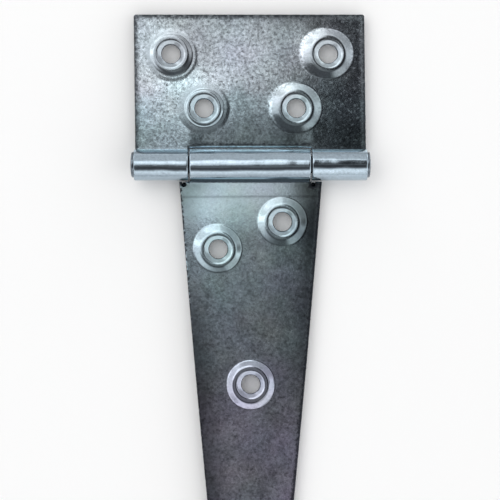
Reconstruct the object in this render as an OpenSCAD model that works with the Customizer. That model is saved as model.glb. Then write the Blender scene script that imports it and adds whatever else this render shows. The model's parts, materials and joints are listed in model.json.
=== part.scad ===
// T hinge in zinc-plated sheet steel: a flap leaf and a long tapered strap leaf,
// both rolled round one riveted pin. The leaves lie open in one plane with their
// backs on z = 0, the pin runs along X, the flap points to +Y and the strap to -Y.

/* [Sheet] */
// Thickness of the steel sheet that both leaves are pressed from
sheet_t = 1.6; // [1.2:0.1:2]

/* [Pin and knuckles] */
// Diameter of the pin's shank
pin_d = 4; // [3.4:0.1:5]
// Radial running clearance between the pin and the rolled knuckles
pin_clearance = 0.05; // [0.02:0.01:0.1]
// Diameter of the two riveted pin heads
pin_head_d = 6; // [5.2:0.1:7]
// Thickness of a riveted head at its middle
pin_head_h = 1; // [0.7:0.1:1.6]
// Height of the dome on a riveted head
pin_dome_h = 0.45; // [0.2:0.05:0.6]
// Width of the strap's middle knuckle along the pin
mid_knuckle_w = 28.4; // [20:0.2:32]
// Side gap between neighbouring knuckles
knuckle_gap = 0.3; // [0.2:0.05:0.6]
// Gap between a knuckle and the edge of the other leaf that faces it
swing_gap = 0.65; // [0.5:0.05:1.2]
// Angle round the pin between a leaf and the end of its own roll
seam_angle = 62; // [58:1:75]

/* [Flap leaf] */
// Width of the flap along the pin
flap_w = 54; // [50:0.5:64]
// Length of the flap from the pin's axis to its free edge
flap_len = 35.3; // [33:0.1:50]
// Radius of the flap's two free corners
flap_corner_r = 0.6; // [0.3:0.1:2]
// Spacing of the two screw holes near the free edge
far_hole_spacing = 36.8; // [30:0.1:40]
// Distance of those holes from the pin's axis
far_hole_y = 26.1; // [25:0.1:28]
// Spacing of the two screw holes near the pin
near_hole_spacing = 21.6; // [16:0.1:26]
// Distance of those holes from the pin's axis
near_hole_y = 13.4; // [12:0.1:14.5]

/* [Strap leaf] */
// Length of the strap from the pin's axis to its tip
strap_len = 100; // [96:0.5:160]
// Width of the strap at its shoulders
strap_root_w = 33.4; // [31.6:0.1:40]
// Radius of the rounded tip
strap_tip_r = 8.9; // [7:0.1:11]
// Diameter of the relief notch at each end of the middle knuckle
notch_d = 0.9; // [0.5:0.1:1.2]
// How far the left notch lies out from the middle knuckle's end
left_notch_offset = 1; // [0:0.1:1.2]
// Across position of the first root hole, to the right of the middle
first_hole_x = 7.4; // [6.5:0.1:9]
// Distance of the first root hole from the pin's axis
first_hole_y = 13.2; // [11:0.1:14]
// Across position of the second root hole, to the left of the middle
second_hole_x = 7.6; // [6.5:0.1:8.5]
// Distance of the second root hole from the pin's axis
second_hole_y = 19.6; // [18:0.1:30]
// Distance of the middle hole from the pin's axis
middle_hole_y = 51.2; // [40:0.1:60]
// Distance of the tip hole from the pin's axis
tip_hole_y = 86; // [74:0.5:90]

/* [Screw holes] */
// Diameter of a screw hole
hole_d = 4.4; // [4:0.1:5.2]
// Width, seen from the front, of the dished seat for the screw's head
seat_w = 1.15; // [0.9:0.05:1.4]
// How far the seat falls from the crest to the hole
seat_drop = 0.6; // [0.3:0.05:0.8]
// Width of the level crest round the mouth
crest_w = 0.9; // [0.4:0.05:1]
// Width, seen from the front, of the boss's outer slope
flank_w = 1.5; // [1.2:0.05:1.8]
// Height of the flap's bosses above the sheet
flap_boss_h = 0.35; // [0.2:0.05:0.7]
// Height of the bosses round the strap's two root holes
root_boss_h = 0.45; // [0.2:0.05:0.9]
// Height of the bosses on the strap's middle line
line_boss_h = 0.65; // [0.2:0.05:0.9]
// Depth of the ring-shaped hollow that the press leaves behind a boss
hollow_h = 0.3; // [0.15:0.05:0.5]
// How far the hollow's two rims on the back lie inside the hole's land and the boss's foot
hollow_inset = 0.55; // [0.4:0.05:0.7]

/* [Hidden] */
$fn = 96;
zinc = [0.69, 0.72, 0.75];
zinc_pin = [0.64, 0.66, 0.69];
// Overlap that keeps cuts and joined solids clear of shared faces
cut = 1;

knuckle_bore_r = pin_d / 2 + pin_clearance;
knuckle_r = knuckle_bore_r + sheet_t;
axis_z = knuckle_r;
// Distance from the axis to the flap's cut-out edge and to the strap's shoulders
edge_y = knuckle_r + swing_gap;
cutout_w = mid_knuckle_w + 2 * knuckle_gap;
end_knuckle_w = (flap_w - cutout_w) / 2;

// Radii of a boss, from the hole outwards
hole_r = hole_d / 2;
mouth_r = hole_r + seat_w;
crest_r = mouth_r + crest_w;
boss_r = crest_r + flank_w;

// Screw hole places, each [x, y]
flap_holes = [
    for (pair = [[far_hole_spacing, far_hole_y], [near_hole_spacing, near_hole_y]], side = [-1, 1])
        [side * pair[0] / 2, pair[1]]
];
root_holes = [[first_hole_x, -first_hole_y], [-second_hole_x, -second_hole_y]];
line_holes = [[0, -middle_hole_y], [0, -tip_hole_y]];

// The strap's straight sides run from its shoulders and touch the round tip
tip_centre_y = strap_tip_r - strap_len;
side_run = -edge_y - tip_centre_y;
side_reach = norm([strap_root_w / 2, side_run]);
taper = acos(strap_tip_r / side_reach) - atan2(side_run, strap_root_w / 2);
tip_touch = [strap_tip_r * cos(taper), tip_centre_y - strap_tip_r * sin(taper)];

// A solid bar of round section along X, centred on the pin's axis
module along_pin(r, width) {
    translate([0, 0, axis_z])
        rotate([0, 90, 0])
            cylinder(r = r, h = width, center = true);
}

// One rolled knuckle on a leaf that points to +Y: the sheet passes under the pin,
// curls over the front and stops just short of the leaf's own face.
module knuckle(width) {
    seam_reach = (axis_z - sheet_t) / cos(seam_angle);
    difference() {
        along_pin(knuckle_r, width);
        along_pin(knuckle_bore_r, width + 2 * cut);
        rotate([90, 0, 90])
            linear_extrude(width + 2 * cut, center = true)
                polygon([
                    [0, axis_z],
                    [0, sheet_t],
                    [seam_reach * sin(seam_angle), sheet_t]
                ]);
    }
}

// The raised part of a boss: a low cone that also reaches down into the sheet
module boss_rise(boss_h) {
    slope = flank_w / boss_h;
    foot = sheet_t / 16;
    translate([0, 0, sheet_t - foot])
        cylinder(r1 = boss_r + foot * slope, r2 = crest_r, h = foot + boss_h);
}

// What a boss loses: the dished seat, the screw hole and the hollow behind
module boss_cut(boss_h) {
    crest_z = sheet_t + boss_h;
    land_z = crest_z - seat_drop;
    rotate_extrude()
        polygon([
            [0, -cut],
            [hole_r, -cut],
            [hole_r, land_z],
            [mouth_r, crest_z],
            [mouth_r + cut * seat_w / seat_drop, crest_z + cut],
            [0, crest_z + cut]
        ]);
    rotate_extrude()
        polygon([
            [hole_r + hollow_inset, -cut],
            [hole_r + hollow_inset, 0],
            [mouth_r, hollow_h],
            [crest_r, hollow_h],
            [boss_r - hollow_inset, 0],
            [boss_r - hollow_inset, -cut]
        ]);
}

// Raises a boss at every place on a leaf and pierces it
module pressed_holes(places, boss_h) {
    difference() {
        union() {
            children();
            for (place = places)
                translate(place) boss_rise(boss_h);
        }
        for (place = places)
            translate(place) boss_cut(boss_h);
    }
}

module flap_blank() {
    corner_y = flap_len - flap_corner_r;
    corner_x = flap_w / 2 - flap_corner_r;
    linear_extrude(sheet_t)
        difference() {
            union() {
                translate([-flap_w / 2, 0])
                    square([flap_w, corner_y]);
                translate([-corner_x, 0])
                    square([2 * corner_x, flap_len]);
                for (side = [-1, 1])
                    translate([side * corner_x, corner_y])
                        circle(r = flap_corner_r);
            }
            translate([-cutout_w / 2, -cut])
                square([cutout_w, cut + edge_y]);
        }
}

module strap_blank() {
    half = strap_root_w / 2;
    notches = [-mid_knuckle_w / 2 - notch_d / 2 - left_notch_offset, mid_knuckle_w / 2 + notch_d / 2];
    linear_extrude(sheet_t)
        difference() {
            union() {
                translate([-mid_knuckle_w / 2, -edge_y - cut])
                    square([mid_knuckle_w, edge_y + cut]);
                polygon([
                    [-half, -edge_y],
                    [half, -edge_y],
                    tip_touch,
                    [-tip_touch[0], tip_touch[1]]
                ]);
                translate([0, tip_centre_y])
                    circle(r = strap_tip_r);
            }
            for (x = notches)
                translate([x, -edge_y])
                    circle(d = notch_d);
        }
}

// The short wide leaf that is screwed to the post, with the two end knuckles
module flap_leaf() {
    end_knuckle_x = (cutout_w + end_knuckle_w) / 2;
    color(zinc)
        pressed_holes(flap_holes, flap_boss_h)
            union() {
                flap_blank();
                for (side = [-1, 1])
                    translate([side * end_knuckle_x, 0, 0])
                        knuckle(end_knuckle_w);
            }
}

// The long tapered leaf that is screwed to the gate, with the middle knuckle
module strap_leaf() {
    color(zinc)
        pressed_holes(line_holes, line_boss_h)
            pressed_holes(root_holes, root_boss_h)
                union() {
                    strap_blank();
                    mirror([0, 1, 0])
                        knuckle(mid_knuckle_w);
                }
}

// A low domed head, flat side on z = 0
module pin_head() {
    head_r = pin_head_d / 2;
    dome_r = (head_r * head_r + pin_dome_h * pin_dome_h) / (2 * pin_dome_h);
    intersection() {
        cylinder(r = head_r, h = pin_head_h);
        translate([0, 0, pin_head_h - dome_r])
            sphere(r = dome_r);
    }
}

// The pin, riveted over at both ends so that it can't come out
module hinge_pin() {
    color(zinc_pin)
        union() {
            along_pin(pin_d / 2, flap_w + pin_head_h);
            for (side = [-1, 1])
                translate([side * flap_w / 2, 0, axis_z])
                    rotate([0, side * 90, 0])
                        pin_head();
        }
}

flap_leaf();
strap_leaf();
hinge_pin();
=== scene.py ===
# %% [markdown]
# A T hinge for a shed door or a light gate: a short wide flap, a long tapered strap and one pin.
# Both leaves are pressed from sheet steel, rolled round the pin, and then plated with bright zinc.
# The CAD model says where everything is and how it swings. This lesson dresses it: each leaf is cut
# as a flat blank, embossed and rolled in the same order as in the press shop, and then plated.

# %% Load the hinge as a fixed frame
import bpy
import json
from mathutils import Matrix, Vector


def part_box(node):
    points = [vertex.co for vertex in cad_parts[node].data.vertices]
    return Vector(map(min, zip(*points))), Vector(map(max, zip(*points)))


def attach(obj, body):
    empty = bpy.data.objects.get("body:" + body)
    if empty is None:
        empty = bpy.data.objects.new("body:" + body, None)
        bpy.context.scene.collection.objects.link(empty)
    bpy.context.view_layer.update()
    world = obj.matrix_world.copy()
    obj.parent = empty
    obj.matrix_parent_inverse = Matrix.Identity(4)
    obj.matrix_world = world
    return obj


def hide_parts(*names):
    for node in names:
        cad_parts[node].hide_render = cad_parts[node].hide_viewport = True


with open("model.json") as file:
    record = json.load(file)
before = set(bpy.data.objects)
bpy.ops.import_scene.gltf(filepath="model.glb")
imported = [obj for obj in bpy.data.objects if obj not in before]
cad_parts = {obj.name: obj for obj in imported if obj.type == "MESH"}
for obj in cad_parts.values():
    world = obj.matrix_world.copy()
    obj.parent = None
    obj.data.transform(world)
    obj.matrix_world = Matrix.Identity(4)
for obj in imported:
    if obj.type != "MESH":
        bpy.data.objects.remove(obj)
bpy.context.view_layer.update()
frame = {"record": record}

# %% Tools used below
import json
import math
from types import SimpleNamespace

import bpy
import numpy as np
from mathutils import Vector, noise
from mathutils.geometry import delaunay_2d_cdt

MM = 0.001
print("Blender", bpy.app.version_string)

# %% [markdown]
# Sizes come from the frame wherever it knows them: the boxes of the three CAD pieces, the joint's
# axis, and the screw holes that the record lists as mounts. Only what neither of them tells, such as
# the sheet's thickness and the steps of a pressed screw hole, is written here. Lengths are millimetres.

# %% Sizes that the frame knows
def box_mm(node):
    low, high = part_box(node)
    return np.array(low) / MM, np.array(high) / MM


flap_low, flap_high = box_mm("flap_leaf")
strap_low, strap_high = box_mm("strap_leaf")
pin_low, pin_high = box_mm("hinge_pin")
axis_z = frame["record"]["behaviour"]["joints"][0]["pos_m"][2] / MM
flap_w = flap_high[0] - flap_low[0]
flap_len = flap_high[1]
strap_root_w = strap_high[0] - strap_low[0]
strap_len = -strap_low[1]
head_r = (pin_high[2] - pin_low[2]) / 2
head_h = (pin_high[0] - pin_low[0] - flap_w) / 2
print("flap", round(flap_w, 2), "x", round(flap_len, 2), "strap", round(strap_len, 2), "axis", axis_z)

# %% Sizes of the sheet, the knuckles and the two outlines
sheet_t = 1.6
knuckle_r = axis_z
bore_r = knuckle_r - sheet_t
pin_r = 2.0
mid_knuckle_w = 28.4
swing_gap = 0.65
seam_angle = 62.0
edge_v = knuckle_r + swing_gap
flap_corner_r = 0.6
strap_tip_r = 8.9
notch_r = 0.45
left_notch_offset = 1.0
print("knuckle bore", round(bore_r, 3), "leaf edges", round(edge_v, 3), "mm from the axis")

# %% Where the screw holes are
first_root_hole = (7.4, -13.2)
second_root_hole = (-7.6, -19.6)


def mount(name):
    for entry in frame["record"]["mounts"]:
        if entry["name"] == name:
            return np.array(entry["pos_m"][:2]) / MM, entry["dims"]


def hole_pair(name, spacing, direction):
    """Two hole places, half of the spacing to either side of a mount."""
    place, dims = mount(name)
    half = dims[spacing] / 2 * np.array(direction)
    return [place - half, place + half]


root_run, root_rise = np.subtract(first_root_hole, second_root_hole)
root_lean = math.atan2(root_rise, root_run)
flap_holes = hole_pair("flap_far_screws", "spacing_x_mm", (1, 0))
flap_holes += hole_pair("flap_near_screws", "spacing_x_mm", (1, 0))
strap_holes = hole_pair("strap_root_screws", "pcd_mm", (math.cos(root_lean), math.sin(root_lean)))
strap_holes += hole_pair("strap_long_screws", "spacing_y_mm", (0, 1))
hole_r = mount("flap_far_screws")[1]["hole_r_mm"]
print(len(flap_holes), "holes in the flap,", len(strap_holes), "in the strap, radius", hole_r)

# %% [markdown]
# No pressed hinge is as true as its drawing. Here the flap leans out of square, the edges beside the
# pin have crept towards it, the middle knuckle is narrow and the strap's sides belly, all by tenths of
# a millimetre. They are sizes of the blank, because bending a finished leaf would bend its holes too.

# %% How far this hinge is from its drawing
knuckle_gap = 0.4
left_trim = 0.12
right_trim = 0.33
lip_creep = 0.2
shoulder_creep = 0.5
notch_sink = 0.2
side_belly = 0.22
flap_skew = 0.0125
knuckle_left = left_trim - mid_knuckle_w / 2
knuckle_right = mid_knuckle_w / 2 - right_trim
cutout_left = knuckle_left - knuckle_gap
cutout_right = knuckle_right + knuckle_gap
cutout_v = edge_v - lip_creep
shoulder_v = edge_v - shoulder_creep
notch_v = edge_v + notch_sink
print("middle knuckle from", round(knuckle_left, 2), "to", round(knuckle_right, 2), "mm along the pin")

# %% [markdown]
# A leaf starts as a flat blank. Its plan uses two distances: u runs along the pin, and v runs away
# from the pin's axis, so the tab that will be rolled into a knuckle lies at negative v. The tab is as
# long as the middle of the sheet's thickness is round the roll. One closed outline, walked with the
# steel on the left, holds the whole shape.

# %% Walking along an outline
roll_mid_r = bore_r + sheet_t / 2
roll_len = roll_mid_r * math.radians(360 - seam_angle)
roll_steps = 84
roll_step = roll_len / roll_steps
plate_step = 0.55
arc_step = 0.12
fewest_arc_steps = 4


def straight(start, end, step):
    """Points from start up to, but not including, end."""
    start = np.array(start, float)
    end = np.array(end, float)
    count = max(1, round(np.linalg.norm(end - start) / step))
    return [start + (end - start) * i / count for i in range(count)]


def arc(centre, radius, first, last):
    """Points round an arc between two angles in degrees, without the last one."""
    count = max(fewest_arc_steps, round(math.radians(abs(last - first)) * radius / arc_step))
    angles = np.radians(first + (last - first) * np.arange(count) / count)
    return [np.array(centre) + radius * np.array((math.cos(a), math.sin(a))) for a in angles]


def tab_side(u, start, end):
    """One side of a rolled tab, stepped finely where it curls and coarsely where it lies flat."""
    steps = (roll_step, plate_step) if start < end else (plate_step, roll_step)
    return straight((u, start), (u, 0.0), steps[0]) + straight((u, 0.0), (u, end), steps[1])


def level(first, last, v, step=plate_step):
    """Points along the pin, at one distance from it."""
    return straight((first, v), (last, v), step)


print("tab", round(roll_len, 2), "mm long, rolled in", roll_steps, "steps")

# %% The flap's blank
def flap_outline():
    half = flap_w / 2
    corner_u = half - flap_corner_r
    corner_v = flap_len - flap_corner_r
    walk = level(-half, cutout_left, -roll_len)
    walk += tab_side(cutout_left, -roll_len, cutout_v)
    walk += level(cutout_left, cutout_right, cutout_v)
    walk += tab_side(cutout_right, cutout_v, -roll_len)
    walk += level(cutout_right, half, -roll_len)
    walk += tab_side(half, -roll_len, corner_v)
    walk += arc((corner_u, corner_v), flap_corner_r, 0, 90)
    walk += level(corner_u, -corner_u, flap_len)
    walk += arc((-corner_u, corner_v), flap_corner_r, 90, 180)
    walk += tab_side(-half, corner_v, -roll_len)
    return np.array(walk)


print("flap outline:", len(flap_outline()), "points")

# %% Parts of the strap's blank
def bellied(start, end):
    """A side that bows out a little to the right of its walk."""
    points = np.array(straight(start, end, plate_step))
    along = np.subtract(end, start) / np.linalg.norm(np.subtract(end, start))
    bow = side_belly * np.sin(np.pi * np.arange(len(points)) / len(points))
    return list(points + bow[:, None] * np.array((along[1], -along[0])))


def notch_places():
    """Where the two relief notches are along the pin: right, then left."""
    side = mid_knuckle_w / 2 + notch_r
    return side, -side - left_notch_offset


def notch(u):
    """Down one side of a relief notch, round its bottom and up the other side."""
    left = straight((u - notch_r, shoulder_v), (u - notch_r, notch_v), arc_step)
    right = straight((u + notch_r, notch_v), (u + notch_r, shoulder_v), arc_step)
    return left + arc((u, notch_v), notch_r, 180, 0) + right


print("notches at", np.round(notch_places(), 2), "mm along the pin")

# %% The strap's blank
def strap_outline():
    half = strap_root_w / 2
    right_notch, left_notch = notch_places()
    tip_v = strap_len - strap_tip_r
    reach = math.hypot(half, tip_v - shoulder_v)
    taper = math.acos(strap_tip_r / reach) - math.atan2(tip_v - shoulder_v, half)
    touch_u = strap_tip_r * math.cos(taper)
    touch_v = tip_v + strap_tip_r * math.sin(taper)
    turn = math.degrees(taper)
    walk = level(knuckle_left, knuckle_right, -roll_len)
    walk += tab_side(knuckle_right, -roll_len, shoulder_v)
    walk += level(knuckle_right, right_notch - notch_r, shoulder_v, arc_step)
    walk += notch(right_notch)
    walk += level(right_notch + notch_r, half, shoulder_v)
    walk += bellied((half, shoulder_v), (touch_u, touch_v))
    walk += arc((0, tip_v), strap_tip_r, turn, 180 - turn)
    walk += bellied((-touch_u, touch_v), (-half, shoulder_v))
    walk += level(-half, left_notch - notch_r, shoulder_v)
    walk += notch(left_notch)
    walk += level(left_notch + notch_r, knuckle_left, shoulder_v)
    walk += tab_side(knuckle_left, shoulder_v, -roll_len)
    return np.array(walk)


print("strap outline:", len(strap_outline()), "points")

# %% [markdown]
# A blanking press doesn't cut a crisp edge. These blanks were pushed through the die from behind, so
# the front ends in a faint burr of a few thousandths, rounded off outside by tumbling, and the cut
# wavers where the die is worn. Round and burr follow the distance from the outline, so one function
# serves every edge. Bevel modifiers were the other way, but they stumble on rolled tabs and holes.

# %% Distance from the outline
sharpest_corner = 0.3


def inward(outline):
    """The direction into the steel at each point, longer at corners so that insets stay parallel."""
    ahead = np.roll(outline, -1, axis=0) - outline
    normal = np.stack((-ahead[:, 1], ahead[:, 0]), axis=1)
    normal /= np.linalg.norm(normal, axis=1)[:, None]
    before = np.roll(normal, 1, axis=0)
    return (normal + before) / (1 + (normal * before).sum(axis=1))[:, None].clip(sharpest_corner)


def edge_distance(points, outline):
    """How far each point is from the nearest stretch of the outline."""
    stretches = np.roll(outline, -1, axis=0) - outline
    nearest = np.full(len(points), np.inf)
    for start, along, length in zip(outline, stretches, (stretches**2).sum(axis=1)):
        offset = points - start
        share = (offset @ along / length).clip(0, 1)
        gap = np.hypot(*(offset - share[:, None] * along).T)
        nearest = np.minimum(nearest, gap)
    return nearest


print("hole margins", edge_distance(np.array(flap_holes), flap_outline()).round(2), "mm")

# %% The burred edge
edge_round_w = 0.22
edge_round_h = 0.16
back_round_w = 0.30
back_round_h = 0.16
burr_h = 0.006
burr_inner, burr_outer = 0.9, 0.1
burr_level, burr_swing = 0.75, 0.6
burr_scale, burr_seed = 0.8, 9.0
edge_waver = 0.05
waver_scale, waver_seed = 0.9, 4.0


def plan_noise(points, scale, seed):
    """A slow noise between -1 and 1 at each point of a plan."""
    return np.array([noise.noise(Vector((u * scale, v * scale, seed))) for u, v in points])


def edge_round(distance, width, height):
    """How far a face has sunk at this distance from the edge: a quarter of an ellipse."""
    share = (1 - distance / width).clip(0, 1)
    return height * (1 - np.sqrt(1 - share**2))


def burr(points, distance):
    """The ridge just inside the edge, uneven as the die was worn."""
    share = ((distance - burr_outer) / (burr_inner - burr_outer)).clip(0, 1)
    wear = burr_level + burr_swing * plan_noise(points, burr_scale, burr_seed)
    return burr_h * wear * np.sin(np.pi * share) ** 2


def wavering(outline):
    """The outline as a worn die cuts it: never outside the drawn one."""
    depth = 0.5 + 0.5 * plan_noise(outline, waver_scale, waver_seed)
    clear = (outline[:, 1] - edge_v).clip(0, 1)
    return outline + inward(outline) * (edge_waver * clear * depth)[:, None]


print("edge rounded over", edge_round_w, "mm, burr", burr_h, "mm high")

# %% [markdown]
# Each screw hole is one stroke of a shaped punch: it raises a low cone round the hole and dishes its
# middle into a seat for the screw's head, with a hollow ring behind. All of that is a height by
# distance from the hole's middle. The corners are written as a short list and then eased, because
# drawn sheet never folds sharply.

# %% The pressed screw hole
seat_w = 1.05
crest_w = 0.85
flank_w = 1.65
foot_room = 1.7
mouth_r = hole_r + seat_w
crest_r = mouth_r + crest_w
boss_r = crest_r + flank_w
boss_reach = boss_r + foot_room
seat_drop = 0.6
hollow_h = 0.3
hollow_inset = 0.55
crest_ease = 0.5
hollow_ease = 0.25
profile_step = 0.01
profile_spare = 1
lip_w = 0.2
lip_drop = 0.14


def eased(corners, ease):
    """A height by distance through these corners, each rounded over the ease."""
    distance = np.arange(0, boss_reach + profile_spare, profile_step)
    height = np.interp(distance, *zip(*corners))
    half = round(ease / profile_step)
    weight = np.hanning(2 * half + 3)[1:-1]
    padded = np.pad(height, half, mode="edge")
    smooth = np.convolve(padded, weight / weight.sum(), mode="valid")
    return lambda r: np.interp(r, distance, smooth)


def boss_front(r, flank, foot_ease):
    """Front height round a hole: its lip, dished seat, round crest and flank."""
    runs, rises = zip(*flank)
    crest_z = sheet_t + rises[0]
    seat_slope = seat_drop / (mouth_r - hole_r)
    corners = [(0.0, crest_z - mouth_r * seat_slope), (mouth_r, crest_z)]
    corners += [(crest_r + run, sheet_t + rise) for run, rise in flank]
    share = ((r - crest_r) / runs[1]).clip(0, 1)
    upper = eased(corners, crest_ease)(r) - edge_round(r - hole_r, lip_w, lip_drop)
    return upper * (1 - share) + eased(corners, foot_ease)(r) * share


hollow = [(hole_r + hollow_inset, 0.0), (mouth_r, hollow_h)]
hollow += [(crest_r, hollow_h), (boss_r - hollow_inset, 0.0)]
boss_back = eased(hollow, hollow_ease)
print("boss", round(boss_r * 2, 2), "mm across, mouth", round(mouth_r * 2, 2), "mm")

# %% [markdown]
# The punch was worn and never quite square to the sheet, so no two of the holes in the photograph are
# alike: some are lower, two end in a flat ledge, and most are drawn out to one side. A short row of
# numbers for each boss says so, where sculpting would have to be done again after every change.

# %% Eight bosses
# A boss has a flank, as (distance beyond the crest, height above the sheet), the ease of its foot, and
# how far it is drawn out, as (along the pin, away from the pin).
flap_bosses = [
    ([(0.0, 0.27), (0.72, 0.05), (1.25, 0.038), (1.9, 0.0)], 0.28, (0.35, -0.5)),
    ([(0.0, 0.43), (1.8, 0.0)], 0.35, (-0.6, 0.1)),
    ([(0.0, 0.27), (0.4, 0.05), (1.3, 0.032), (2.0, 0.0)], 0.22, (0.0, 0.0)),
    ([(0.0, 0.43), (1.8, 0.0)], 0.35, (-0.6, 0.0)),
]
line_boss = ([(0.18, 0.63), (1.45, 0.0)], 0.3, (0.0, 0.32))
strap_bosses = [
    ([(0.0, 0.48), (1.4, 0.0)], 0.3, (-0.3, -0.3)),
    ([(0.0, 0.47), (1.62, 0.0)], 0.35, (0.0, 0.0)),
    line_boss,
    line_boss,
]
print("boss heights in mm:", [flank[0][1] for flank, _, _ in flap_bosses + strap_bosses])

# %% [markdown]
# The plan is filled with points before any height is given: the outline and a few rows just inside
# it for the rounded edge, rings round every hole, close rows on the tabs where the sheet will curl, and
# a loose grid elsewhere. A constrained Delaunay triangulation joins them. It puts triangles only as
# close as the form needs, which a plain grid with boolean cuts can't do.

# %% Rows along the edge and rings round the holes
inset_rows = (0.02, 0.06, 0.12, 0.2, 0.32, 0.46, 0.62, 0.8, 1.0)
inset_keep = 0.97
lip_rings = (0.0, 0.02, 0.05, 0.09, 0.14, 0.2, 0.32, 0.5, 0.72, 0.86)
crest_rings = np.linspace(mouth_r - 0.2, crest_r + 0.7, 15)
foot_rings = np.linspace(crest_r + 0.85, boss_r + 0.6, 13)
apron_rings = (0.85, 1.15, 1.5)
ring_radii = np.concatenate(
    (np.add(hole_r, lip_rings), crest_rings, foot_rings, np.add(boss_r, apron_rings))
)
ring_points = 80


def unit_circle(sides):
    angles = 2 * np.pi * np.arange(sides) / sides
    return np.stack((np.cos(angles), np.sin(angles)), axis=1)


def hole_rings(centre):
    return [np.array(centre) + radius * unit_circle(ring_points) for radius in ring_radii]


def inset_row(outline, depth):
    """Points one depth inside the outline, but none that come too near another stretch."""
    moved = outline + inward(outline) * depth
    return moved[edge_distance(moved, outline) > depth * inset_keep]


print(len(ring_radii), "rings of", ring_points, "points round each hole")

# %% The loose grid between them
grid_start = 0.3
grid_step = 1.25
tab_column = 1.6
row_room = 0.25
ring_room = 0.4


def inside(points, outline):
    """Which points lie inside the outline, by counting the edges to their right."""
    odd = np.zeros(len(points), bool)
    after = np.roll(outline, -1, axis=0)
    for (u0, v0), (u1, v1) in zip(outline, after):
        crosses = (v0 > points[:, 1]) != (v1 > points[:, 1])
        if v0 != v1:
            odd ^= crosses & (points[:, 0] < u0 + (points[:, 1] - v0) * (u1 - u0) / (v1 - v0))
    return odd


def grid_points(outline, holes):
    """A loose grid on the plate and close rows on the tabs, clear of edges and holes."""
    low = outline.min(axis=0)
    high = outline.max(axis=0)
    columns = np.arange(low[0], high[0], grid_step)
    plate = [(u, v) for v in np.arange(grid_start, high[1], grid_step) for u in columns]
    rows = -roll_step * np.arange(1, roll_steps)
    columns = np.arange(low[0], high[0], tab_column)
    points = np.array(plate + [(u, v) for v in rows for u in columns])
    keep = inside(points, outline) & (edge_distance(points, outline) > inset_rows[-1] + row_room)
    for centre in holes:
        keep &= np.hypot(*(points - centre).T) > ring_radii[-1] + ring_room
    return points[keep]


print("grid of", grid_step, "mm")

# %% Joining the points into a plan
whole_hull = 0
same_point = 1e-5


def close_loop(count, first):
    return [(first + i, first + (i + 1) % count) for i in range(count)]


def plan(outline, holes):
    """The blank's points and its triangles, without those outside the outline or in a hole."""
    groups = [outline]
    edges = close_loop(len(outline), 0)
    count = len(outline)
    for centre in holes:
        for ring in hole_rings(centre):
            edges += close_loop(len(ring), count)
            groups.append(ring)
            count += len(ring)
    groups += [inset_row(outline, depth) for depth in inset_rows]
    groups.append(grid_points(outline, holes))
    points = [Vector(p) for p in np.concatenate(groups)]
    made = delaunay_2d_cdt(points, edges, [], whole_hull, same_point, False)
    flat = np.array([tuple(p) for p in made[0]])
    triangles = np.array(made[2])
    middle = flat[triangles].mean(axis=1)
    keep = inside(middle, outline)
    for centre in holes:
        keep &= np.hypot(*(middle - centre).T) > hole_r
    triangles = triangles[keep]
    used = np.unique(triangles)
    renumber = np.zeros(len(flat), int)
    renumber[used] = np.arange(len(used))
    print("plan:", len(used), "points and", len(triangles), "triangles")
    return flat[used], renumber[triangles]


print("points nearer than", same_point, "mm are joined")

# %% [markdown]
# Now the blank becomes a leaf. Every plan point gets a front and a back height, the rim gets a sheared
# wall, and the tab is rolled: a point at negative v turns round the pin by its distance over the
# roll's middle radius. The strap is the same leaf turned the other way, so one function presses both.

# %% Heights of the front and the back
lip_sag = 0.2
lip_sag_reach = 9.7
lip_round_w = 0.6
lip_round_h = 0.35
lip_ends = 3.5
back_lip_w = 0.12
back_lip_h = 0.08


def front_heights(points, outline, holes, bosses):
    distance = edge_distance(points, outline)
    height = sheet_t - edge_round(distance, edge_round_w, edge_round_h) + burr(points, distance)
    for centre, (flank, foot_ease, drawn_out) in zip(holes, bosses):
        offset = points - centre
        r = np.hypot(*offset.T)
        share = ((r - crest_r) / flank_w).clip(0, 1)
        drawn_r = r - share * (offset @ drawn_out / r).clip(0)
        height = np.where(r < boss_reach, boss_front(drawn_r, flank, foot_ease), height)
    return height


def cutout_sag(points):
    """How far the cut-out's lip is dragged down and rounded over, less towards its ends."""
    near = (1 - (points[:, 1] - cutout_v) / lip_sag_reach).clip(0, 1)
    across = np.minimum(points[:, 0] - cutout_left, cutout_right - points[:, 0])
    across = (across / lip_ends).clip(0, 1)
    sag = lip_sag * near**2 + edge_round(points[:, 1] - cutout_v, lip_round_w, lip_round_h)
    return sag * across * (points[:, 1] >= cutout_v)


def back_heights(points, outline, holes):
    height = edge_round(edge_distance(points, outline), back_round_w, back_round_h)
    for centre in holes:
        r = np.hypot(*(points - centre).T)
        lip = edge_round(r - hole_r, back_lip_w, back_lip_h)
        height = np.where(r < boss_reach, boss_back(r) + lip, height)
    return height


print("the lip sinks by", cutout_sag(np.array([(0.0, cutout_v)])).round(2), "mm")

# %% Rolling the tab
def rolled(points, height):
    """Places of plan points at a height in the sheet, with the tab curled round the pin."""
    turn = (-points[:, 1]).clip(0) / roll_mid_r
    reach = knuckle_r - height
    curled = points[:, 1] < 0
    y = np.where(curled, -reach * np.sin(turn), points[:, 1])
    z = np.where(curled, axis_z - reach * np.cos(turn), height)
    return np.stack((points[:, 0], y, z), axis=1)


print("the tab ends at", rolled(np.array([(0.0, -roll_len)]), np.zeros(1)).round(2), "mm")

# %% Closing the sheet
wall_rows = (0.35, 0.7)


def rim_edges(triangles):
    """Edges that only one triangle uses, in that triangle's own direction."""
    directed = np.concatenate([triangles[:, [0, 1]], triangles[:, [1, 2]], triangles[:, [2, 0]]])
    known = set(map(tuple, directed))
    return [(a, b) for a, b in known if (b, a) not in known]


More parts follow.
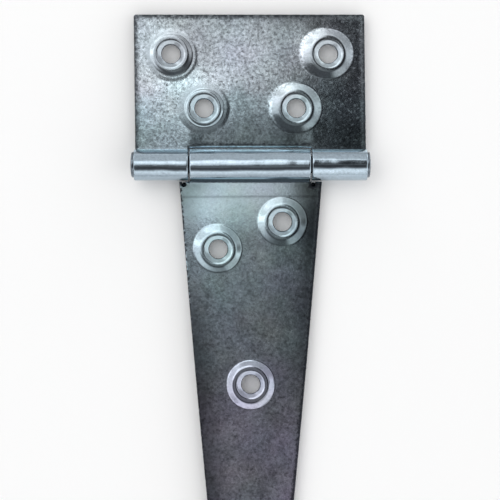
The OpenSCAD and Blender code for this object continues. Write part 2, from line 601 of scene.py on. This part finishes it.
def closed_sheet(points, triangles, front, back):
    """Places and faces of front, back and walls, and the plan point of each place."""
    count = len(points)
    edges = rim_edges(triangles)
    rim_points = sorted({a for a, b in edges})
    row_of = {a: i for i, a in enumerate(rim_points)}
    places = [rolled(points, front), rolled(points, back)]
    for share in wall_rows:
        height = front * (1 - share) + back * share
        places.append(rolled(points[rim_points], height[rim_points]))
    faces = [tuple(t) for t in triangles] + [tuple(t[::-1] + count) for t in triangles]
    for a, b in edges:
        levels = [(a, b)]
        for row in range(len(wall_rows)):
            first = 2 * count + row * len(rim_points)
            levels.append((first + row_of[a], first + row_of[b]))
        levels.append((a + count, b + count))
        for (a0, b0), (a1, b1) in zip(levels, levels[1:]):
            faces.append((b0, a0, a1, b1))
    source = np.concatenate([np.arange(count), np.arange(count)] + [rim_points] * len(wall_rows))
    return np.concatenate(places), faces, source


print("walls have", len(wall_rows), "rows of points")

# %% [markdown]
# A relief notch stops the shoulder from tearing when the knuckle is rolled. A low closed prism that
# reaches a little into the notch's walls sits at its bottom, fully grimed, as painted shade in the notch.

# %% The dark plug that paints a relief notch's shade
plug_sides = 24
plug_bite = 0.12
plug_low, plug_high = 0.25, 0.7


def tube_faces(rings, sides):
    """Faces that join rings of points into a tube and close its two ends."""
    last = (rings - 1) * sides
    faces = [tuple(range(sides))[::-1], tuple(range(last, last + sides))]
    for first in range(0, last, sides):
        for i in range(sides):
            a = first + i
            b = first + (i + 1) % sides
            faces.append((a, b, b + sides, a + sides))
    return faces


def notch_shade_plug(u, side):
    ring = (np.array((u, notch_v)) + (notch_r + plug_bite) * unit_circle(plug_sides)) * (1, side)
    rings = [np.column_stack((ring, np.full(plug_sides, z))) for z in (plug_low, plug_high)]
    return np.concatenate(rings), tube_faces(len(rings), plug_sides)


print("notch_shade_plug", round(plug_high - plug_low, 2), "mm thick")

# %% [markdown]
# A leaf's mesh also keeps two distances at every point, from the outline and from the nearest hole, as
# named attributes that a shader can read, because grime and painted shade follow edges and holes. The
# sheared walls get a greater distance, as clean metal.

# %% Pressing a leaf
wall_clean = 1.2


def make_piece(name, places, faces):
    """A smooth-shaded object from places in millimetres."""
    mesh = bpy.data.meshes.new(name)
    mesh.from_pydata((places * MM).tolist(), [], [tuple(int(i) for i in face) for face in faces])
    mesh.shade_smooth()
    mesh.update()
    piece = bpy.data.objects.new(name, mesh)
    bpy.context.collection.objects.link(piece)
    print(name, "has", len(mesh.vertices), "points and", len(mesh.polygons), "faces")
    return piece


def keep_distance(piece, name, distance):
    layer = piece.data.attributes.new(name, "FLOAT", "POINT")
    layer.data.foreach_set("value", np.asarray(distance, np.float32))


def press_leaf(name, outline, holes, bosses, side, sag=None, skew=0.0, notch_shade_plugs=()):
    """One leaf as a closed mesh. Side 1 points it to +Y and side -1 to -Y."""
    drawn = wavering(outline)
    own_holes = [np.array((x, side * y)) for x, y in holes]
    points, triangles = plan(drawn, own_holes)
    front = front_heights(points, drawn, own_holes, bosses)
    if sag:
        front = front - sag(points)
    back = back_heights(points, drawn, own_holes)
    places, faces, source = closed_sheet(points, triangles, front, back)
    places[:, 0] -= skew * (places[:, 1] - edge_v).clip(0)
    places *= (1, side, 1)
    if side < 0:
        faces = [face[::-1] for face in faces]
    from_holes = np.min([np.hypot(*(points - centre).T) for centre in own_holes], axis=0)
    distances = np.column_stack((edge_distance(points, drawn), from_holes - hole_r))[source]
    walls = slice(2 * len(points), None)
    distances[walls] = distances[walls].clip(wall_clean)
    # Painted shade: a dark plug with no distance from the edge, so fully grimed, sits in each relief notch.
    for u in notch_shade_plugs:
        more_places, more_faces = notch_shade_plug(u, side)
        faces += [tuple(i + len(places) for i in face) for face in more_faces]
        places = np.concatenate((places, more_places))
        plug_distance = (0.0, distances[:, 1].max())
        distances = np.concatenate((distances, [plug_distance] * len(more_places)))
    piece = make_piece(name, places, faces)
    keep_distance(piece, "rim", distances[:, 0])
    keep_distance(piece, "bore", distances[:, 1])
    return piece


flap_leaf = press_leaf(
    "flap_leaf_pressed", flap_outline(), flap_holes, flap_bosses, side=1, sag=cutout_sag, skew=flap_skew
)
strap_leaf = press_leaf(
    "strap_leaf_pressed", strap_outline(), strap_holes, strap_bosses, side=-1, notch_shade_plugs=notch_places()
)

# %% [markdown]
# The pin is a length of wire, cut a little long and hammered over at both ends, so its heads are low
# domes with soft rims and a few flats. Turning a profile gives the wire and the heads in one closed
# surface, and a slow noise on the heads alone gives the hammer marks.

# %% The pin's profile
dome_h = 0.45
shank_rings = 14
under_flat = 0.5
under_edge = 0.12
under_mid_x, under_mid_r = 0.04, 0.03
rim_r = 0.25
rim_angles = (20, 45, 65)
dome_rings = 9
tip_r = 0.25


def pin_profile():
    """Half of the pin from its middle to the top of a head, each [distance along, radius]."""
    shoulder = flap_w / 2
    top = shoulder + head_h
    rim_x = top - dome_h - under_edge
    dome_r = (head_r**2 + dome_h**2) / (2 * dome_h)
    profile = [(x, pin_r) for x in np.linspace(0, shoulder, shank_rings)]
    profile += [(shoulder, head_r - under_flat), (shoulder, head_r - under_edge)]
    profile.append((shoulder + under_mid_x, head_r - under_mid_r))
    profile += [(shoulder + under_edge, head_r), (rim_x, head_r)]
    for a in np.radians(rim_angles):
        profile.append((rim_x + rim_r * math.sin(a), head_r - rim_r * (1 - math.cos(a))))
    for r in np.linspace(head_r - rim_r, tip_r, dome_rings):
        profile.append((top - dome_r + math.sqrt(dome_r**2 - r**2), r))
    return profile


print("pin profile:", len(pin_profile()), "points")

# %% The riveted pin
pin_sides = 72
hammer = 0.07
hammer_push = 0.8
hammer_along, hammer_across = 0.5, 0.7
head_from = 0.03
no_hole_near = 9.0


def hammered(x, y, z):
    """A place on the turned pin, moved in by the hammer if it is on a head."""
    on_head = abs(x) > flap_w / 2 + head_from
    mark = noise.noise(Vector((x * hammer_along, y * hammer_across, z * hammer_across)))
    dent = hammer * (0.5 + 0.5 * mark) * on_head
    shrink = 1 - dent / head_r
    return x - math.copysign(dent * hammer_push, x), y * shrink, axis_z + z * shrink


def turn_pin(name):
    half = pin_profile()
    profile = [(-x, r) for x, r in half[:0:-1]] + half
    circle = unit_circle(pin_sides)
    places = np.array([hammered(x, r * c, r * s) for x, r in profile for c, s in circle])
    piece = make_piece(name, places, tube_faces(len(profile), pin_sides))
    keep_distance(piece, "rim", (np.abs(places[:, 0]) - flap_w / 2).clip(0))
    keep_distance(piece, "bore", np.full(len(places), no_hole_near))
    return piece


hinge_pin = turn_pin("hinge_pin_riveted")

# %% [markdown]
# Each new piece stands for its CAD node and moves with the same body, so the strap's leaf swings and
# the pin stays with the flap, which is how a riveted pin behaves when the flap is screwed down.

# %% Hand the pieces to the frame
for piece, node, body, slot in (
    (flap_leaf, "flap_leaf", "flap", "leaf_zinc"),
    (strap_leaf, "strap_leaf", "strap", "leaf_zinc"),
    (hinge_pin, "hinge_pin", "flap", "pin_zinc"),
):
    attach(piece, body)
    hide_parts(node)
print("three pieces ride on two bodies")

# %% [markdown]
# Materials are written as sums. This small class wraps a node's output, so that mask * 0.4 + 0.1 adds
# the Math nodes by itself, and its node method adds any other kind of node: settings first, sockets
# after. A Signal without a socket is the way into an empty tree.

# %% Shader sums as Python expressions
class Signal:
    """An output socket in a node tree, with arithmetic."""

    def __init__(self, tree, socket=None):
        self.tree = tree
        self.socket = socket

    def node(self, kind, settings=None, sockets=None, output=0):
        made = self.tree.nodes.new(kind)
        for name, value in (settings or {}).items():
            setattr(made, name, value)
        for name, value in (sockets or {}).items():
            if isinstance(value, Signal):
                self.tree.links.new(value.socket, made.inputs[name])
            else:
                made.inputs[name].default_value = value
        return Signal(self.tree, made.outputs[output] if made.outputs else None)

    def math(self, operation, first, second=0.0):
        return self.node("ShaderNodeMath", {"operation": operation}, {0: first, 1: second})

    def __add__(self, other):
        return self.math("ADD", self, other)

    __radd__ = __add__

    def __sub__(self, other):
        return self.math("SUBTRACT", self, other)

    def __rsub__(self, other):
        return self.math("SUBTRACT", other, self)

    def __mul__(self, other):
        return self.math("MULTIPLY", self, other)

    __rmul__ = __mul__

    def __truediv__(self, other):
        return self.math("DIVIDE", self, other)

    def __abs__(self):
        return self.math("ABSOLUTE", self)

    def at_least(self, other):
        return self.math("MAXIMUM", self, other)

    def at_most(self, other):
        return self.math("MINIMUM", self, other)

    def step(self, low, high):
        """0 below low, 1 above high, and a smooth rise between."""
        sockets = {"Value": self, "From Min": low, "From Max": high}
        return self.node("ShaderNodeMapRange", {"interpolation_type": "SMOOTHSTEP"}, sockets)

    def mix(self, first, second):
        """A colour between two, by this value."""
        return self.node("ShaderNodeMix", {"data_type": "RGBA"}, {0: self, 6: first, 7: second}, 2)


def empty_tree(owner):
    owner.use_nodes = True
    owner.node_tree.nodes.clear()
    return Signal(owner.node_tree)


print("shader class ready")

# %% [markdown]
# Bright zinc is a thin metal coat with a faint blue passivation film. Close up it has a fine pebbled
# grain, taken from the rolled sheet below it, with small dark pits, and larger soft clouds where the
# film is thicker. Everything is placed by distances on the piece itself, so it stays put when the strap
# swings, and unwrapping the rolled sheet for painted pictures isn't needed.

# %% Where a point is on a piece
plate_from = (3.4, 4.6)
boss_clear = (2.8, 4.2)


def axis_of(place, name):
    return place.node("ShaderNodeSeparateXYZ", {}, {0: place}, name)


def distance_kept(place, name):
    return place.node("ShaderNodeAttribute", {"attribute_name": name}, {}, "Fac")


def surface(start):
    """A point's place in metres, and in mm its x, y, distance v from the pin, and from edge and hole."""
    place = start.node("ShaderNodeTexCoord", output="Object")
    x, y = [axis_of(place, name) / MM for name in "XY"]
    rim, bore = [distance_kept(place, name) for name in ("rim", "bore")]
    plate = abs(y).step(*plate_from)
    return SimpleNamespace(place=place, x=x, y=y, v=abs(y), plate=plate, rim=rim, bore=bore)


print("the plate begins", plate_from[0], "mm from the pin")

# %% Masks
def noise_at(place, scale, detail=2.0, rough=0.5, output=0):
    sockets = {"Vector": place, "Scale": scale, "Detail": detail, "Roughness": rough}
    return place.node("ShaderNodeTexNoise", {}, sockets, output)


def past(distance, start):
    """How far a distance is beyond a start, or nothing."""
    return (distance - start).at_least(0.0)


def bell(distance, place, width):
    """1 at a place, about a third one width away, and almost nothing two widths away."""
    away = (distance - place) / width
    return away.math("EXPONENT", away * away * -1.0)


def spot(at, x, y, wide, long):
    """A bell at one place on a leaf, in millimetres."""
    return bell(at.x, x, wide) * bell(at.y, y, long)


print("masks ready")

# %% The film's tint
cool = (0.375, 0.475, 0.52, 1.0)
even = (0.425, 0.475, 0.525, 1.0)
blue = (0.39, 0.475, 0.545, 1.0)
mauve = (0.41, 0.415, 0.51, 1.0)
# The pin's dark tint, painted shade for the dark lines at its ends.
pin_shade_blue = (0.17, 0.2, 0.23, 1.0)
cloud_scale = 70.0
cloud_drift = 30.0
stain_scale = 95.0


def layered(mode, share, below, above):
    """Two colours, one laid over the other in a blend mode."""
    settings = {"data_type": "RGBA", "blend_type": mode}
    return below.node("ShaderNodeMix", settings, {0: share, 6: below, 7: above}, 2)


def film_tint(at, barrel, near, far, change, stained):
    """One tint on the barrels, and on the plate a cloudy change from near to far."""
    cloud = noise_at(at.place, cloud_scale, 3.0)
    tint = (at.v + (cloud - 0.5) * cloud_drift).step(*change).mix(near, far)
    stain = noise_at(at.place, stain_scale, 3.0, output="Color")
    return at.plate.mix(barrel, layered("OVERLAY", stained, tint, stain))


print("tints ready")

# %% [markdown]
# Some of the coat's colour is painted light. A roll gets painted shade on its crown and just above
# its own plate and a painted highlight where it meets the plate, and a boss's crest a painted dark ring.
# Grime stays where a wheel can't reach, along the edges and in the holes, and there also paints shade.
# Each is a soft mask over a distance.

# %% Painted light, and grime with painted shade, that all pieces share
# The grime colour, which along edges and at hole rims also paints shade.
grime_and_shade_colour = (0.02, 0.022, 0.027, 1.0)
edge_grime_and_shade, hole_grime_and_shade = 0.92, 0.9
edge_scatter = 2.0
roll_band, hole_band = 0.08, 0.2
brink_painted_shade = 0.36


def painted_roll_light(at, painted_shade):
    """Painted shade on a roll's crown and at the brink above its own plate, and a painted highlight where
    they meet.
    """
    painted_crown_shade = bell(at.y, -0.45, 0.7) * painted_shade
    painted_brink_and_glint = bell(at.y, 2.62, 0.32) * brink_painted_shade - bell(at.y, 3.12, 0.33)
    return (1.0 - painted_crown_shade) * (1.0 - painted_brink_and_glint)


def painted_crest_shade(at, ring):
    """Painted shade in a ring on the crest of a boss, as dark as ring says."""
    return 1.0 - at.bore.step(1.0, 1.4) * (1.0 - at.bore.step(1.6, 2.0)) * ring


def grime_and_shade_left(at, speck, grime_and_shade_band):
    """Grime, which also paints shade, in ragged bands along the edges, a thin line along the rolls and at
    the holes.
    """
    clean_from, clean_to, share = grime_and_shade_band(at)
    reach = at.rim + (speck - 0.5) * at.plate * edge_scatter
    clean = reach.step(at.plate * clean_from, at.plate * (clean_to - roll_band) + roll_band)
    in_holes = (1.0 - at.bore.step(0.0, hole_band)) * hole_grime_and_shade
    return ((1.0 - clean) * edge_grime_and_shade * share).at_least(in_holes)


print("shared wear ready")

# %% The zinc coat
film_scale = 330.0
grain_scale = 1600.0
speck_scale = 1300.0
grain_h = 0.0025
smooth_share = 0.2
pits = (0.56, 0.68)
pit_grime = 0.45
base_rough, film_rough, grime_rough = 0.11, 0.06, 0.3


def zinc(name, painted_light, grime_and_shade_band, form, change, rough_from, speckle, blotch, ring=0.0, painted_shade=0.0, **tints):
    """Bright zinc, with painted light, edge grime that also paints shade, and the bend that form adds."""
    material = bpy.data.materials.new(name)
    start = empty_tree(material)
    at = surface(start)
    film = noise_at(at.place, film_scale, 4.0, 0.65)
    grain = noise_at(at.place, grain_scale, 3.0, 0.7)
    speck = noise_at(at.place, speck_scale, 2.0, 0.6)
    coarse = at.v.step(*rough_from) * at.bore.step(*boss_clear) * (1.0 - smooth_share) + smooth_share
    shade = (grain - 0.5) * coarse * speckle + (film - 0.5) * blotch * coarse + 1.0
    # Painted light: the piece's own shade and highlights, a dark ring on boss crests, and a roll's painted
    # crown shade, brink shade and glint.
    shade = shade * painted_light(at) * painted_crest_shade(at, ring) * painted_roll_light(at, painted_shade)
    levels = start.node("ShaderNodeCombineColor", {}, {0: shade, 1: shade, 2: shade})
    tint = layered("MULTIPLY", 1.0, film_tint(at, change=change, **tints), levels)
    # Grime along the edges and at the hole rims, which also paints their shade, and grime in the pits.
    dirt_and_shade = grime_and_shade_left(at, speck, grime_and_shade_band).at_least(speck.step(*pits) * coarse * pit_grime)
    height = (grain - 0.5) * (grain_h * speckle) + form(at)
    sockets = {
        "Base Color": dirt_and_shade.mix(tint, grime_and_shade_colour),
        "Metallic": 1.0,
        "Roughness": base_rough + (film - 0.5) * film_rough + dirt_and_shade * grime_rough,
        "Normal": start.node("ShaderNodeBump", {}, {"Strength": 1.0, "Distance": MM, "Height": height}),
    }
    coat = start.node("ShaderNodeBsdfPrincipled", {}, sockets)
    start.node("ShaderNodeOutputMaterial", {}, {"Surface": coat})
    return material


print("grain", grain_h, "mm high")

# %% [markdown]
# Pressed sheet is never flat. The flap lifts at its heel and its free edge, the strap climbs from its
# root, and the rolls lean. These bends are far too small to see as a shape, but metal mirrors the
# room, so they move every reflection. That is what a bump does, so they are added to it.

# %% How each piece sets
roll_edge = 3.5
roll_wave = 0.07
heel_lift, brow_lift = 0.0008, 0.005
root_climb, root_ease, strap_fall = 0.066, 0.00083, 0.02
crease_y, crease_h = 7.37, 0.003
pin_h = 0.03


def barrel_set(at, lean, rest):
    """The rolls aren't quite round: each leans a little to the side on which it was closed."""
    kept = at.y.at_most(roll_edge).at_least(-roll_edge)
    wave = (noise_at(at.place, 170.0, 1.0) - 0.5) * roll_wave
    return (rest - kept) * (lean + wave)


def flap_set(at):
    """The flap lifts a little towards its knuckles and towards its free edge."""
    heel = past(14 - at.v, 0.0)
    brow = past(at.v, 32)
    lean = 0.148 - at.x.step(-1, 1) * 0.182
    return heel * heel * heel_lift + brow * brow * brow_lift + barrel_set(at, lean, roll_edge)


def strap_set(at):
    """The strap climbs from its root, steeply at first, and a faint crease crosses it there."""
    beyond = past(at.v, 18)
    bend = past(at.v, 6) - beyond
    climb = past(at.v, roll_edge) * root_climb - bend * bend * root_ease - beyond * strap_fall
    dip = bell(at.v, crease_y, 0.2) * -crease_h
    return climb + dip + barrel_set(at, 0.108 - at.x * 0.0027, -roll_edge)


def pin_set(at):
    return noise_at(at.place, 500.0) * pin_h


print("a crease of", crease_h, "mm crosses the strap's root")

# %% [markdown]
# Painted light is read from the photograph. The flap gets painted shade along its free edge and at
# both heels, with a painted highlight on its lip, and the strap gets painted shade along its sides and
# its seam, with a band of painted light in between.

# %% Painted light on the flap
# Strengths of the flap's painted shade and painted highlights.
brow_painted_shade, right_heel_painted_shade, left_heel_painted_shade, spot_painted_shade = 0.3, 0.45, 0.27, 0.22
lip_painted_highlight, roll_painted_highlight = 0.6, 0.34
left_painted_highlight, right_painted_highlight = 0.35, 0.8


def cutout_span(at):
    """1 along the flap's cut-out, and 0 beside it."""
    return 1.0 - abs(at.x).step(14, 14.6)


def flap_painted_light(at):
    """Painted shade along the flap's free edge, at its heels and in two spots; painted highlights on its
    lip, its right roll and two spots.
    """
    brow = at.v.step(24, 36) * (1.0 - abs(at.x).step(16, 24))
    clear = at.plate * at.bore.step(*boss_clear)
    right_heel = clear * (1.0 - at.v.step(8, 14)) * at.x.step(5, 11)
    left_heel = clear * (1.0 - at.v.step(7, 12)) * (1.0 - at.x.step(-14, -9))
    # Painted shade in two spots.
    painted_shade = spot(at, -11.0, 26.5, 3.5, 4.5) + spot(at, -1.5, 17.0, 4.5, 3.0)
    # Painted highlights in two spots.
    clean = spot(at, -15.0, 19.5, 7.0, 2.3) * left_painted_highlight + spot(at, 11.6, 29.5, 2.5, 3.0) * right_painted_highlight
    # Painted highlights on the lip and on the lower side of the right roll.
    lip = bell(at.y, 4.27, 0.22) * cutout_span(at)
    roll = at.x.step(14, 15) * bell(at.y, -2.0, 0.75)
    shade = (1.0 + lip * lip_painted_highlight + roll * roll_painted_highlight) * (1.0 - brow * brow_painted_shade)
    shade = shade * (1.0 - right_heel * right_heel_painted_shade) * (1.0 - left_heel * left_heel_painted_shade)
    return shade * (1.0 - painted_shade * spot_painted_shade + clean)


print("heels dulled by", right_heel_painted_shade, "and", left_heel_painted_shade)

# %% Painted light on the strap, and none on the pin
# Strengths of the strap's painted shade, its easing lower down, and its painted bands.
right_painted_shade, right_root_painted_shade, right_shade_eased = 0.62, 0.12, 0.72
left_painted_shade, left_shade_eased = 0.6, 0.53
band_painted_highlight, band_painted_shade = 0.2, 0.18
seam_painted_shade, crease_painted_shade, shoulder_painted_shade = 0.68, 0.3, 0.5
side_band, right_less, root_more = 7.0, 2.0, 1.5


def right_half(at):
    return at.x.step(-8, 8)


def strap_painted_light(at):
    """Painted shade on the sides, the right one most at the root, the left one lower down, and on seam,
    crease and a shoulder.
    """
    right = right_half(at)
    root = 1.0 - at.v.step(9, 18)
    right_fade = right_painted_shade + root * right_root_painted_shade - at.v.step(20, 80) * right_shade_eased
    left_fade = left_painted_shade - bell(at.v, 23, 10) * left_shade_eased
    fade = right * right_fade + (1.0 - right) * left_fade
    reach = side_band - right * (right_less - root * root_more)
    side = (1.0 - at.rim.step(0.0, reach)) * at.plate * fade
    # A band of painted light at 23 mm and a band of painted shade at 48 mm, both kept off the bosses.
    painted_bands = bell(at.v, 23, 6) * band_painted_highlight - bell(at.v, 48, 9) * band_painted_shade
    # Painted shade along the seam, across the crease and on a spot at the right shoulder.
    seam = bell(at.y, -3.55, 0.17) * seam_painted_shade
    fold = bell(at.v, crease_y, 0.33) * crease_painted_shade
    shoulder = spot(at, 12.5, -14.0, 4.0, 6.0) * shoulder_painted_shade
    shade = (1.0 - seam) * (1.0 - side) * (1.0 + painted_bands * at.bore.step(3.2, 4.4))
    return shade * (1.0 - fold) * (1.0 - shoulder)


# The pin gets no painted light.
def pin_painted_light(at):
    return 1.0


print("the strap's seam is darkened by", seam_painted_shade)

# %% Where each piece has grime and painted shade
flap_solid, flap_band, lip_more = 0.02, 1.5, 0.5
strap_band, strap_right_more, strap_solid = 0.4, 0.65, 0.4
pin_solid, pin_band = 0.02, 0.3


def flap_grime_and_shade(at):
    """Where the grime and painted shade along the edges begin to thin, where they end, and how much there
    is.
    """
    lip = (1.0 - at.y.step(6, 8)) * cutout_span(at)
    wiped = lip * (1.0 - at.y.step(4.45, 4.8))
    return lip * lip_more + flap_solid, lip * lip_more + flap_band, 1.0 - wiped


def strap_grime_and_shade(at):
    """The strap's right side has grime and painted shade in a broad band, and its left side in a narrow
    one.
    """
    reach = strap_band + right_half(at) * strap_right_more
    return reach * strap_solid, reach, 1.0


# Painted shade: the whole shank is fully grimed, so the gaps between the knuckles read as shade.
def pin_shank_shade(at):
    return pin_solid, pin_band, 1.0


print("grime reaches", flap_band, "mm into the flap")

# %% Plating the three pieces
# Painted shade: ring darkens the crests of the flap's bosses, and the crown strength darkens the rolls'
# crowns.
flap_zinc = zinc(
    "zinc_flap", flap_painted_light, flap_grime_and_shade, flap_set, change=(12, 22), rough_from=plate_from,
    speckle=2.9, blotch=0.6, ring=0.2, painted_shade=0.35, barrel=blue, near=cool, far=even, stained=0.07,
)
strap_zinc = zinc(
    "zinc_strap", strap_painted_light, strap_grime_and_shade, strap_set, change=(12, 72), rough_from=(9, 24),
    speckle=2.2, blotch=1.3, painted_shade=0.15, barrel=blue, near=cool, far=mauve, stained=0.13,
)
# The pin's dark tint paints the shade of the dark lines at its ends.
pin_zinc = zinc(
    "zinc_pin", pin_painted_light, pin_shank_shade, pin_set, change=(0, 1000), rough_from=plate_from, speckle=1.0,
    blotch=0.5, barrel=pin_shade_blue, near=pin_shade_blue, far=pin_shade_blue, stained=0.1,
)
for piece, coat in ((flap_leaf, flap_zinc), (strap_leaf, strap_zinc), (hinge_pin, pin_zinc)):
    piece.data.materials.append(coat)
    print(coat.name, "has", len(coat.node_tree.nodes), "nodes")

# %% [markdown]
# The hinge lies on a pale table. The floor stays an ordinary matt surface so that it keeps the soft
# shadow round the sheet's edges, and what the camera and the metal see of it is lifted a very little.

# %% The floor
floor_half = 3.0
floor_drop = 1.2 * MM
floor_white = 0.97
floor_lift = 0.01


def grey(value):
    return (value, value, value, 1.0)


floor_mesh = bpy.data.meshes.new("floor")
corners = [(-1, -1), (1, -1), (1, 1), (-1, 1)]
floor_places = [(x * floor_half, y * floor_half, -floor_drop) for x, y in corners]
floor_mesh.from_pydata(floor_places, [], [(0, 1, 2, 3)])
floor = bpy.data.objects.new("floor", floor_mesh)
bpy.context.collection.objects.link(floor)

paper = bpy.data.materials.new("pale_table")
table = empty_tree(paper)
by_camera = table.node("ShaderNodeLightPath", output="Is Camera Ray")
by_metal = table.node("ShaderNodeLightPath", output="Is Glossy Ray")
matt = table.node("ShaderNodeBsdfDiffuse", {}, {"Color": grey(floor_white)})
white = table.node("ShaderNodeEmission", {}, {"Strength": 1.0})
lift = (by_camera + by_metal).at_most(1.0) * floor_lift
mixed = table.node("ShaderNodeMixShader", {}, {0: lift, 1: matt, 2: white})
table.node("ShaderNodeOutputMaterial", {}, {"Surface": mixed})
floor_mesh.materials.append(paper)
print("floor", 2 * floor_half, "m square")

# %% [markdown]
# Metal shows its surroundings, so the room matters as much as the coat. It is a pale tent, darker
# overhead where the camera looks in, with dim and light patches where rolls, plates and bosses mirror
# them. Light and dark painted onto the metal wouldn't move when the strap swings, as reflections do.

# %% Patches of the tent
# A patch has the azimuth and tilt of its middle, the angles where it begins to fade and ends, all in
# degrees, and its colour. Later ones cover earlier ones.
patches = {
    "far_wall": (90, 60, 14, 32, grey(0.8)),
    "dim_right": (45, 48, 12, 28, grey(0.62)),
    "shade_right": (78, 19, 6, 13, grey(0.12)),
    "mid_right": (10, 40, 3, 10, grey(0.3)),
    "dim_left": (225, 64, 12, 24, grey(0.7)),
    "overhead": (280, 10, 14, 37.5, (0.105, 0.105, 0.11, 1.0)),
    "low_right": (318, 31, 6, 17, grey(0.8)),
    "zenith": (270, 3, 5, 11, grey(0.26)),
    "north": (90, 4, 1.5, 5.5, grey(0.32)),
    "far_right": (26.6, 10.1, 5.8, 9.0, (0.03, 0.03, 0.034, 1.0)),
}


def within(ray, azimuth, tilt, inner, outer):
    """1 within the inner angle of a direction that leans from straight up, and 0 beyond the outer one."""
    a, t, full, none = np.radians((azimuth, tilt, inner, outer))
    direction = (math.sin(t) * math.cos(a), math.sin(t) * math.sin(a), math.cos(t))
    facing = ray.node("ShaderNodeVectorMath", {"operation": "DOT_PRODUCT"}, {0: ray, 1: direction}, "Value")
    return facing.step(math.cos(none), math.cos(full))


print(len(patches), "patches:", ", ".join(patches))

# %% The tent
wall_low, wall_high = grey(0.8), grey(1.5)
skirt_dim, skirt_bright = grey(0.3), grey(2.2)
world = bpy.data.worlds.new("tent")
bpy.context.scene.world = world
room = empty_tree(world)
ray = room.node("ShaderNodeTexCoord", output="Generated")
ray_x, ray_y, ray_z = [axis_of(ray, name) for name in "XYZ"]
tent = ray_z.step(0.1, 0.85).mix(wall_low, wall_high)
low_beside = (1.0 - ray_z.step(0.3, 0.55)) * abs(ray_x).step(0.25, 0.5)
skirt = (ray_y + ray_x).step(-0.45, 0.45).mix(skirt_dim, skirt_bright)
tent = low_beside.mix(tent, skirt)
for azimuth, tilt, inner, outer, colour in patches.values():
    tent = within(ray, azimuth, tilt, inner, outer).mix(tent, colour)
seen = room.node("ShaderNodeLightPath", output="Is Camera Ray")
sky = seen.mix(tent, grey(1.0))
background = room.node("ShaderNodeBackground", {}, {"Color": sky, "Strength": 1.0})
room.node("ShaderNodeOutputWorld", {}, {"Surface": background})
print("tent of", len(world.node_tree.nodes), "nodes")

# %% [markdown]
# Beyond the flap's free edge hangs a soft box, and its mirror image is the bright line on each knuckle.
# Several flat lamps make it up, because its near edge is stepped and its glow uneven.

# %% The soft box and its bright core
box_height = 0.9
core_height = 0.88
watts_per_glow = 4
# A panel has its left, right, near and far sides and its height, all in metres, and its glow.
panels = {
    "soft_box_near": (-0.48, -0.02, 0.096, 0.126, box_height, 0.75),
    "soft_box_corner": (-0.02, 0.03, 0.092, 0.126, box_height, 0.35),
    "soft_box_middle": (-0.75, 0.037, 0.126, 0.30, box_height, 0.75),
    "soft_box_far": (-0.15, 0.048, 0.30, 0.84, box_height, 0.56),
    "soft_box_far_left": (-0.75, -0.15, 0.50, 0.84, box_height, 0.52),
    "soft_box_left": (-0.45, -0.13, 0.0, 0.096, box_height, 0.6),
    "bright_core": (-0.125, 0.045, 0.22, 0.46, core_height, 0.64),
    "bright_spot": (-0.095, -0.03, 0.1, 0.14, core_height, 0.36),
}


def panel(name, left, right, near, far, height, glow):
    """A flat lamp overhead that faces down."""
    lamp = bpy.data.lights.new(name, "AREA")
    lamp.shape = "RECTANGLE"
    lamp.size = right - left
    lamp.size_y = far - near
    lamp.energy = glow * watts_per_glow * lamp.size * lamp.size_y
    holder = bpy.data.objects.new(name, lamp)
    holder.location = ((left + right) / 2, (near + far) / 2, height)
    holder.visible_camera = False
    bpy.context.collection.objects.link(holder)
    print(name, round(lamp.size, 3), "x", round(lamp.size_y, 3), "m,", round(lamp.energy, 3), "W")


for name, sides in panels.items():
    panel(name, *sides)

# %% [markdown]
# The camera looks straight down at the hinge, far enough away that the knuckles hardly lean. The
# strap's tip falls outside the picture, as it does in the photograph.

# %% The camera
frame_mm = 116.9
aim = (-0.14 * MM, -19.8 * MM)
camera_data = bpy.data.cameras.new("overhead_camera")
camera_data.sensor_width = 36.0
camera_data.lens = 100.0
camera_rise = frame_mm * MM * camera_data.lens / camera_data.sensor_width
camera = bpy.data.objects.new("overhead_camera", camera_data)
camera.location = (aim[0], aim[1], sheet_t * MM + camera_rise)
bpy.context.collection.objects.link(camera)
bpy.context.scene.camera = camera
bpy.context.scene.view_settings.view_transform = "Standard"
print("camera", round(camera_rise, 4), "m above the sheet")
